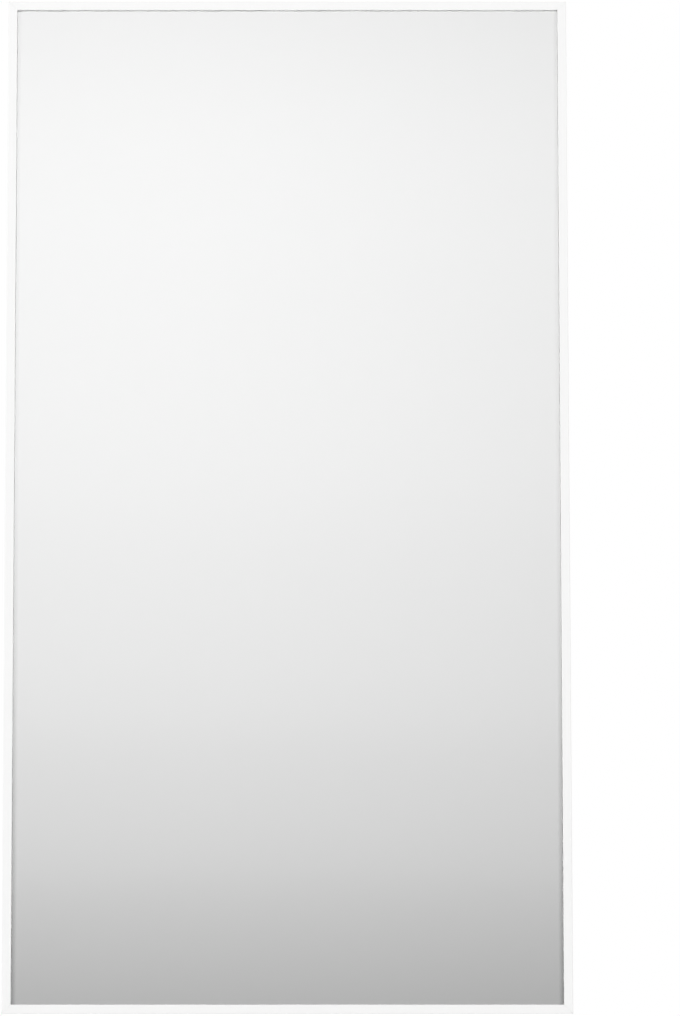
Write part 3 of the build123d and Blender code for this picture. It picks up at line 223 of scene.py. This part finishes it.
def floor_paint():
    """Matt and pale, with the object's shadow. Reflections see a grey that meets the studio's at the
    rim, and from below the floor is clear."""
    material = bpy.data.materials.new("floor")
    ground = Tree(material)
    ground.nodes.remove(ground.nodes["Principled BSDF"])
    from_camera, from_gloss, glass_light = ray_kinds(ground)
    where = ground.add("ShaderNodeTexCoord").outputs["Object"]
    radius = ground.add("ShaderNodeVectorMath", {0: where}, operation="LENGTH").outputs["Value"]

    matt = ground.add("ShaderNodeBsdfDiffuse", {"Color": (FLOOR_ALBEDO,) * 3}).outputs[0]
    whitening = ground.spread(radius, *FLOOR_FADE, FLOOR_LIFT, FLOOR_RIM_LIFT)
    given_back = (GAIN_BELOW - 1) * FLOOR_ALBEDO * PLAIN_LEVEL
    lifts = ground.maths(
        "ADD",
        ground.maths("MULTIPLY", from_camera, whitening),
        ground.maths("MULTIPLY", glass_light, given_back),
    )
    lift = ground.add("ShaderNodeEmission", {"Strength": lifts}).outputs[0]
    lit = ground.add("ShaderNodeAddShader", {0: matt, 1: lift}).outputs[0]

    even_grey = ground.spread(radius, *FLOOR_FADE, FLOOR_NEAR_GREY, FLOOR_FAR_GREY, smooth=True)
    far_away = ground.spread(radius, *FLOOR_FADE, smooth=True)
    spot = ground.add("ShaderNodeSeparateXYZ", {0: where})
    grey = ground.maths("MULTIPLY", even_grey, glow_towards(ground, spot, far_away))
    reflected = ground.add("ShaderNodeEmission", {"Strength": grey}).outputs[0]

    above = ground.add("ShaderNodeMixShader", {0: from_gloss, 1: lit, 2: reflected}).outputs[0]
    clear = ground.add("ShaderNodeBsdfTransparent").outputs[0]
    underside = ground.add("ShaderNodeNewGeometry").outputs["Backfacing"]
    one_sided = ground.add("ShaderNodeMixShader", {0: underside, 1: above, 2: clear})
    ground.give(ground.nodes["Material Output"].inputs["Surface"], one_sided.outputs[0])
    return material


def lay_floor():
    mesh = bpy.data.meshes.new("floor")
    disc = bmesh.new()
    bmesh.ops.create_circle(disc, cap_ends=True, segments=FLOOR_SEGMENTS, radius=FLOOR_RADIUS)
    disc.to_mesh(mesh)
    disc.free()
    mesh.materials.append(floor_paint())
    floor = bpy.data.objects.new("floor", mesh)
    floor.location.z = FLOOR_HEIGHT
    bpy.context.scene.collection.objects.link(floor)


def hang_lamp(name, azimuth, elevation, distance, size, watts, in_gloss):
    """A square lamp that faces the middle of the panel. The camera doesn't see it."""
    lamp_data = bpy.data.lights.new(name, "AREA")
    lamp_data.size = size
    lamp_data.energy = watts
    lamp = bpy.data.objects.new(name, lamp_data)
    turn, rise = math.radians(azimuth), math.radians(elevation)
    level = math.cos(rise)
    towards = Vector((math.sin(turn) * level, -math.cos(turn) * level, math.sin(rise)))
    lamp.location = towards * distance
    lamp.rotation_mode = "QUATERNION"
    lamp.rotation_quaternion = towards.to_track_quat("Z", "Y")
    lamp.visible_camera = False
    lamp.visible_glossy = in_gloss
    lamp.visible_transmission = in_gloss
    bpy.context.scene.collection.objects.link(lamp)


light_studio()
lay_floor()
for lamp_row in LAMPS:
    hang_lamp(*lamp_row)


# ---------------------------------------------------------------- materials
TEXTURE_MIDDLE = (0.25, 0.75)  # most of a texture's values lie between these


class Look(Tree):
    """A procedural material: one Principled shader, and textures placed in metres on the part."""

    def __init__(self, name, colour, roughness, metallic=0.0, **sockets):
        self.material = bpy.data.materials.new(name)
        super().__init__(self.material)
        self.shader = self.nodes["Principled BSDF"]
        plain = {"Base Color": colour, "Roughness": roughness, "Metallic": metallic}
        for key, value in {**plain, **sockets}.items():
            self.give(self.shader.inputs[key.replace("_", " ")], value)
        self.where = self.add("ShaderNodeTexCoord").outputs["Object"]

    def placed(self, stretch):
        """Places on the part, with each axis shortened by its stretch."""
        scale = [1.0 / s for s in stretch]
        return self.add("ShaderNodeMapping", {"Vector": self.where, "Scale": scale}).outputs[0]

    def noise(self, size, detail=2.0, stretch=(1, 1, 1)):
        """Soft lumps about size across."""
        inputs = {"Vector": self.placed(stretch), "Scale": 1.0 / size, "Detail": detail}
        return self.add("ShaderNodeTexNoise", inputs).outputs["Fac"]

    def cells(self, size, output="Color", ragged=0.0, **settings):
        """Crystals about size across: a random value for each, or the distance to its edge.
        Ragged moves their edges about, by up to that share of their size."""
        vector = self.where
        if ragged:
            inputs = {"Vector": vector, "Scale": 2.0 / size, "Detail": 3.0}
            wander = self.add("ShaderNodeTexNoise", inputs).outputs["Color"]
            inputs = {0: wander, 1: (ragged * size,) * 3, 2: vector}
            vector = self.add("ShaderNodeVectorMath", inputs, operation="MULTIPLY_ADD").outputs[0]
        inputs = {"Vector": vector, "Scale": 1.0 / size}
        return self.add("ShaderNodeTexVoronoi", inputs, **settings).outputs[output]

    def feathers(self, size, turn):
        """Fine lines about size apart, turned about Y by a part of a half turn."""
        angle = self.maths("MULTIPLY", turn, math.pi)
        turned = self.add(
            "ShaderNodeVectorRotate",
            {"Vector": self.where, "Angle": angle},
            rotation_type="Y_AXIS",
        )
        stretched = self.add(
            "ShaderNodeMapping", {"Vector": turned.outputs[0], "Scale": (1.0, 1.0, 0.1)}
        )
        inputs = {"Vector": stretched.outputs[0], "Scale": 1.0 / size, "Detail": 2.0}
        return self.add("ShaderNodeTexNoise", inputs).outputs["Fac"]

    def tint(self, factor, first, second):
        """Varies the colour between two, by a texture."""
        self.give(self.shader.inputs["Base Color"], self.mix(factor, first, second))

    def shine(self, factor, low, high):
        """Varies the roughness between two values, by a texture."""
        self.give(self.shader.inputs["Roughness"], self.spread(factor, *TEXTURE_MIDDLE, low, high))

    def relief(self, factor, depth):
        """Raises the surface by depth where the texture is 1. Reliefs add up."""
        bump = self.add("ShaderNodeBump", {"Height": factor, "Distance": depth})
        normal = self.shader.inputs["Normal"]
        if normal.is_linked:
            self.give(bump.inputs["Normal"], normal.links[0].from_socket)
        self.give(normal, bump.outputs["Normal"])


EDGE_COVERED = 4.7 * MM  # the part of the silver that the frame hides
EDGE_SHADE_REACH = 5.5 * MM  # how far the painted shade along the frame goes on from there
EDGE_SHADE_TOP, EDGE_SHADE_FOOT = 0.88, 0.58  # how bright the silver is under the painted shade, at the top and at the foot
EDGE_SHADE_HEIGHTS = (-0.45, 0.05)  # between these the painted shade clears, from the foot upwards
STRIPE_EDGE = (0.1, 0.14)  # how much a wire's skin faces +Y where its stripe begins


def scaled(colour, share):
    """The colour made darker or paler."""
    return tuple(c * share for c in colour)


def powder_coat(name, colour):
    """Baked powder paint: a fine orange-peel skin with a satin shine."""
    look = Look(name, colour, 0.38, IOR=1.5)
    peel = look.noise(1.3 * MM, detail=1.5)
    look.tint(look.noise(35 * MM), scaled(colour, 0.985), colour)
    look.shine(peel, 0.34, 0.42)
    look.relief(peel, 0.012 * MM)
    look.relief(look.noise(0.25 * MM, detail=1.0), 0.003 * MM)
    return look


def galvanised(name, colour, crystal):
    """Hot-dip zinc: feathered crystals that catch the light one by one, under a fine haze."""
    look = Look(name, colour, 0.4, metallic=1.0)
    spangle = look.cells(crystal, ragged=0.45)
    feathers = look.feathers(0.5 * MM, spangle)
    haze = look.noise(25 * MM, detail=4.0)
    shade = look.mix(0.4, look.mix(0.3, spangle, feathers), haze)
    look.tint(shade, scaled(colour, 0.76), scaled(colour, 1.16))
    look.shine(spangle, 0.38, 0.47)
    look.relief(feathers, 0.012 * MM)
    look.relief(spangle, 0.01 * MM)
    return look


def rolled_metal(name, colour, roughness, grain=(1, 1, 1)):
    """Bright or plated metal with faint rolling or turning marks and a few cloudy patches."""
    look = Look(name, colour, roughness, metallic=1.0)
    marks = look.noise(0.18 * MM, detail=3.0, stretch=grain)
    cloud = look.noise(4 * MM, detail=3.0)
    look.tint(cloud, scaled(colour, 0.88), scaled(colour, 1.05))
    look.shine(cloud, roughness * 0.8, roughness * 1.3)
    look.relief(marks, 0.004 * MM)
    return look


def moulded(name, colour, roughness, grain=0.35 * MM, depth=0.012 * MM, **sockets):
    """Moulded plastic with a spark-eroded skin and a little unevenness of colour."""
    look = Look(name, colour, roughness, **sockets)
    skin = look.noise(grain, detail=2.0)
    look.tint(look.noise(18 * MM, detail=3.0), scaled(colour, 0.96), scaled(colour, 1.02))
    look.shine(look.noise(6 * MM), roughness * 0.9, roughness * 1.12)
    look.relief(skin, depth)
    return look


def rubber(name, colour, darkest, palest):
    """Dull extruded rubber. A bloom on its skin shades it between two shares of its colour."""
    look = Look(name, colour, 0.75)
    bloom = look.noise(2.5 * MM, detail=4.0)
    look.tint(bloom, scaled(colour, darkest), scaled(colour, palest))
    look.shine(bloom, 0.62, 0.85)
    look.relief(look.noise(0.4 * MM, detail=3.0), 0.02 * MM)
    return look


def float_glass():
    """Clear glass. Its faces are flat, with the very slight waves of rolled float glass."""
    look = Look("mirror_glass", (0.99, 0.991, 0.99), 0.0, IOR=1.52, Transmission_Weight=1.0)
    look.tint(look.noise(120 * MM), (0.989, 0.99, 0.989), (0.991, 0.992, 0.991))
    look.relief(look.noise(90 * MM, detail=0.0), 0.0006 * MM)
    return look


def silvering():
    """The silver layer behind the glass: almost even, with painted shade towards its sides where the
    frame shades it, darker towards the foot.
    """
    look = Look("mirror_silver", (0.955, 0.955, 0.955), 0.02, metallic=1.0)
    _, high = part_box("mirror_backing")
    place = look.add("ShaderNodeSeparateXYZ", {0: look.where})
    from_side = look.maths("SUBTRACT", high.x, look.maths("ABSOLUTE", place.outputs["X"]))
    # painted shade: the silver is darkened near the frame's sides, more so towards the foot
    clear = look.spread(from_side, EDGE_COVERED, EDGE_COVERED + EDGE_SHADE_REACH, smooth=True)
    cloud = look.mix(look.noise(60 * MM), (0.953, 0.953, 0.953), (0.957, 0.957, 0.957))
    shade_fade_upward = look.spread(place.outputs["Z"], *EDGE_SHADE_HEIGHTS, smooth=True)
    painted_edge_shade = look.mix(shade_fade_upward, (EDGE_SHADE_FOOT,) * 3, (EDGE_SHADE_TOP,) * 3)
    look.tint(clear, painted_edge_shade, cloud)
    return look


def foil():
    """Thin aluminium foil with creases where it was pressed flat."""
    look = Look("foil", (0.85, 0.86, 0.87), 0.22, metallic=1.0)
    creases = look.cells(14 * MM, "Distance", feature="DISTANCE_TO_EDGE")
    look.tint(look.noise(9 * MM), (0.78, 0.79, 0.8), (0.88, 0.89, 0.9))
    look.shine(look.noise(3 * MM), 0.16, 0.3)
    look.relief(look.spread(creases, 0.0, 0.06), 0.08 * MM)
    return look


def mineral_board():
    """Pressed mineral fibre: short strands lying every way, with darker shot between them."""
    look = Look("insulation", (0.82, 0.78, 0.66), 0.95)
    strands = look.noise(0.5 * MM, detail=4.0, stretch=(9, 1, 1))
    crossing = look.noise(0.5 * MM, detail=4.0, stretch=(1, 1, 9))
    look.tint(look.mix(0.5, strands, crossing), (0.6, 0.56, 0.44), (0.9, 0.87, 0.77))
    look.relief(strands, 0.15 * MM)
    look.relief(crossing, 0.15 * MM)
    return look


def circuit_board():
    """Green solder mask over copper tracks that show as paler lines."""
    look = Look("circuit_board", (0.03, 0.2, 0.09), 0.3, Coat_Weight=0.4, Coat_Roughness=0.12)
    grid = look.cells(3.2 * MM, "Distance", distance="MANHATTAN")
    tracks = look.spread(grid, 0.42, 0.46)
    look.tint(tracks, (0.05, 0.3, 0.13), (0.02, 0.15, 0.07))
    look.relief(tracks, -0.03 * MM)
    look.relief(look.noise(0.5 * MM), 0.004 * MM)
    return look


def insulated_wire(name, colour, stripe=None):
    """Soft plastic insulation, with the second colour of an earth wire along one side."""
    look = moulded(name, colour, 0.42, grain=0.8 * MM, depth=0.01 * MM)
    if stripe:
        facing = look.add(
            "ShaderNodeSeparateXYZ", {0: look.add("ShaderNodeNewGeometry").outputs["Normal"]}
        )
        look.tint(look.spread(facing.outputs["Y"], *STRIPE_EDGE), colour, stripe)
    return look


def clear_plastic(name, colour):
    """Clear polycarbonate with faint flow lines."""
    look = Look(name, colour, 0.06, IOR=1.58, Transmission_Weight=0.9)
    look.shine(look.noise(0.7 * MM, detail=2.0), 0.04, 0.12)
    look.tint(look.noise(1.5 * MM), scaled(colour, 0.94), colour)
    look.relief(look.noise(0.5 * MM, stretch=(1, 1, 5)), 0.003 * MM)
    return look


looks = {
    "frame_paint": powder_coat("frame_paint", (0.925, 0.925, 0.922)),
    "mirror_glass": float_glass(),
    "mirror_silver": silvering(),
    "white_rubber": rubber("white_rubber", (0.8, 0.8, 0.79), 0.94, 1.03),
    "black_rubber": rubber("black_rubber", (0.03, 0.03, 0.032), 0.7, 1.6),
    "heating_film": moulded("heating_film", (0.72, 0.56, 0.3), 0.25, Coat_Weight=0.3),
    "carbon": moulded("carbon", (0.05, 0.05, 0.055), 0.8, grain=0.15 * MM),
    "copper": rolled_metal("copper", (0.78, 0.45, 0.3), 0.3, grain=(1, 1, 12)),
    "foil": foil(),
    "insulation": mineral_board(),
    "galvanised_sheet": galvanised("galvanised_sheet", (0.62, 0.635, 0.65), 9 * MM),
    "cast_zinc": rolled_metal("cast_zinc", (0.5, 0.51, 0.53), 0.5),
    "zinc_plate": rolled_metal("zinc_plate", (0.7, 0.71, 0.73), 0.28),
    "bracket_steel": galvanised("bracket_steel", (0.68, 0.69, 0.71), 4 * MM),
    "rivet_aluminium": rolled_metal("rivet_aluminium", (0.78, 0.79, 0.8), 0.35),
    "box_plastic": moulded("box_plastic", (0.86, 0.86, 0.85), 0.5),
    "circuit_board": circuit_board(),
    "module_black": moulded("module_black", (0.03, 0.03, 0.032), 0.45),
    "relay_blue": moulded("relay_blue", (0.04, 0.16, 0.42), 0.4),
    "radio_can": rolled_metal("radio_can", (0.75, 0.75, 0.76), 0.3, grain=(10, 1, 1)),
    "fuse_ceramic": moulded("fuse_ceramic", (0.86, 0.85, 0.8), 0.35),
    "capacitor_can": moulded("capacitor_can", (0.2, 0.22, 0.3), 0.25, Metallic=0.7),
    "terminal_green": moulded("terminal_green", (0.12, 0.4, 0.18), 0.5),
    "lamp_clear": clear_plastic("lamp_clear", (0.93, 0.95, 0.95)),
    "sensor_bead": moulded("sensor_bead", (0.08, 0.08, 0.08), 0.25, Coat_Weight=0.5),
    "button_grey": moulded("button_grey", (0.35, 0.36, 0.37), 0.45),
    "switch_black": moulded("switch_black", (0.035, 0.035, 0.037), 0.42),
    "switch_rocker": moulded("switch_rocker", (0.04, 0.04, 0.042), 0.2, depth=0.003 * MM),
    "brass": rolled_metal("brass", (0.8, 0.62, 0.3), 0.3),
    "tin_plate": rolled_metal("tin_plate", (0.72, 0.72, 0.73), 0.32),
    "cutout_body": moulded("cutout_body", (0.12, 0.1, 0.09), 0.5),
    "gland_plastic": moulded("gland_plastic", (0.62, 0.63, 0.63), 0.48),
    "wire_brown": insulated_wire("wire_brown", (0.25, 0.11, 0.05)),
    "wire_blue": insulated_wire("wire_blue", (0.05, 0.2, 0.55)),
    "wire_green": insulated_wire("wire_green", (0.16, 0.42, 0.09), (0.75, 0.66, 0.06)),
    "wire_white": insulated_wire("wire_white", (0.82, 0.81, 0.78)),
}
for part in frame["record"]["subparts"]:
    mesh = frame["nodes"][part["node"]].data
    mesh.materials.clear()
    mesh.materials.append(looks[part["material_slot"]].material)

# ---------------------------------------------------------------- marks printed on the rocker
MARK_OFFSET = 4.6 * MM  # from the middle of the rocker to the middle of each mark
MARK_THICKNESS = 0.04 * MM
MARK_SINK = 0.015 * MM
BAR_LENGTH, BAR_WIDTH = 2.6 * MM, 0.5 * MM
RING_RADIUS, RING_WIDTH = 1.3 * MM, 0.45 * MM
BAR_STEPS, RING_STEPS = 8, 48

rocker = frame["nodes"]["rocker_button"]
rocker_low, rocker_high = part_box("rocker_button")
rocker_middle = (rocker_low + rocker_high) / 2
rocker_surface = BVHTree.FromObject(rocker, bpy.context.evaluated_depsgraph_get())
ink = moulded("mark_ink", (0.86, 0.86, 0.85), 0.4, grain=0.1 * MM, depth=0.004 * MM)


def on_rocker(x, y, inward):
    """The point of the rocker's face under (x, y), moved inward into it."""
    below = Vector((x, y, rocker_low.z - MM))
    point, normal, _, _ = rocker_surface.ray_cast(below, Vector((0, 0, 1)))
    return point - normal * inward


def print_mark(name, one_side, other_side, closed=False):
    """A thin solid layer on the rocker's face, between two lines of (x, y) places."""
    mark = bmesh.new()
    edges = []
    for side, inward in (
        (one_side, MARK_SINK - MARK_THICKNESS),
        (other_side, MARK_SINK - MARK_THICKNESS),
        (other_side, MARK_SINK),
        (one_side, MARK_SINK),
    ):
        edges.append([mark.verts.new(on_rocker(x, y, inward)) for x, y in side])
    for i in range(len(one_side) if closed else len(one_side) - 1):
        j = (i + 1) % len(one_side)
        for k, edge in enumerate(edges):
            following = edges[(k + 1) % len(edges)]
            mark.faces.new((edge[i], edge[j], following[j], following[i]))
    if not closed:
        for i in (0, -1):
            mark.faces.new([edge[i] for edge in edges])
    bmesh.ops.recalc_face_normals(mark, faces=mark.faces)
    mesh = bpy.data.meshes.new(name)
    mark.to_mesh(mesh)
    mark.free()
    mesh.materials.append(ink.material)
    piece = bpy.data.objects.new(name, mesh)
    bpy.context.scene.collection.objects.link(piece)
    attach(piece, "rocker")


def line(x):
    """A straight line across the rocker."""
    parts = [i / BAR_STEPS - 0.5 for i in range(BAR_STEPS + 1)]
    return [(x, rocker_middle.y + BAR_LENGTH * part) for part in parts]


def ring(radius):
    """A circle round the middle of the off mark."""
    x, y = rocker_middle.x + MARK_OFFSET, rocker_middle.y
    turns = [2 * math.pi * i / RING_STEPS for i in range(RING_STEPS)]
    return [(x + radius * math.cos(turn), y + radius * math.sin(turn)) for turn in turns]


bar_x = rocker_middle.x - MARK_OFFSET
print_mark("on_mark", line(bar_x - BAR_WIDTH / 2), line(bar_x + BAR_WIDTH / 2))
print_mark("off_mark", ring(RING_RADIUS), ring(RING_RADIUS - RING_WIDTH), closed=True)
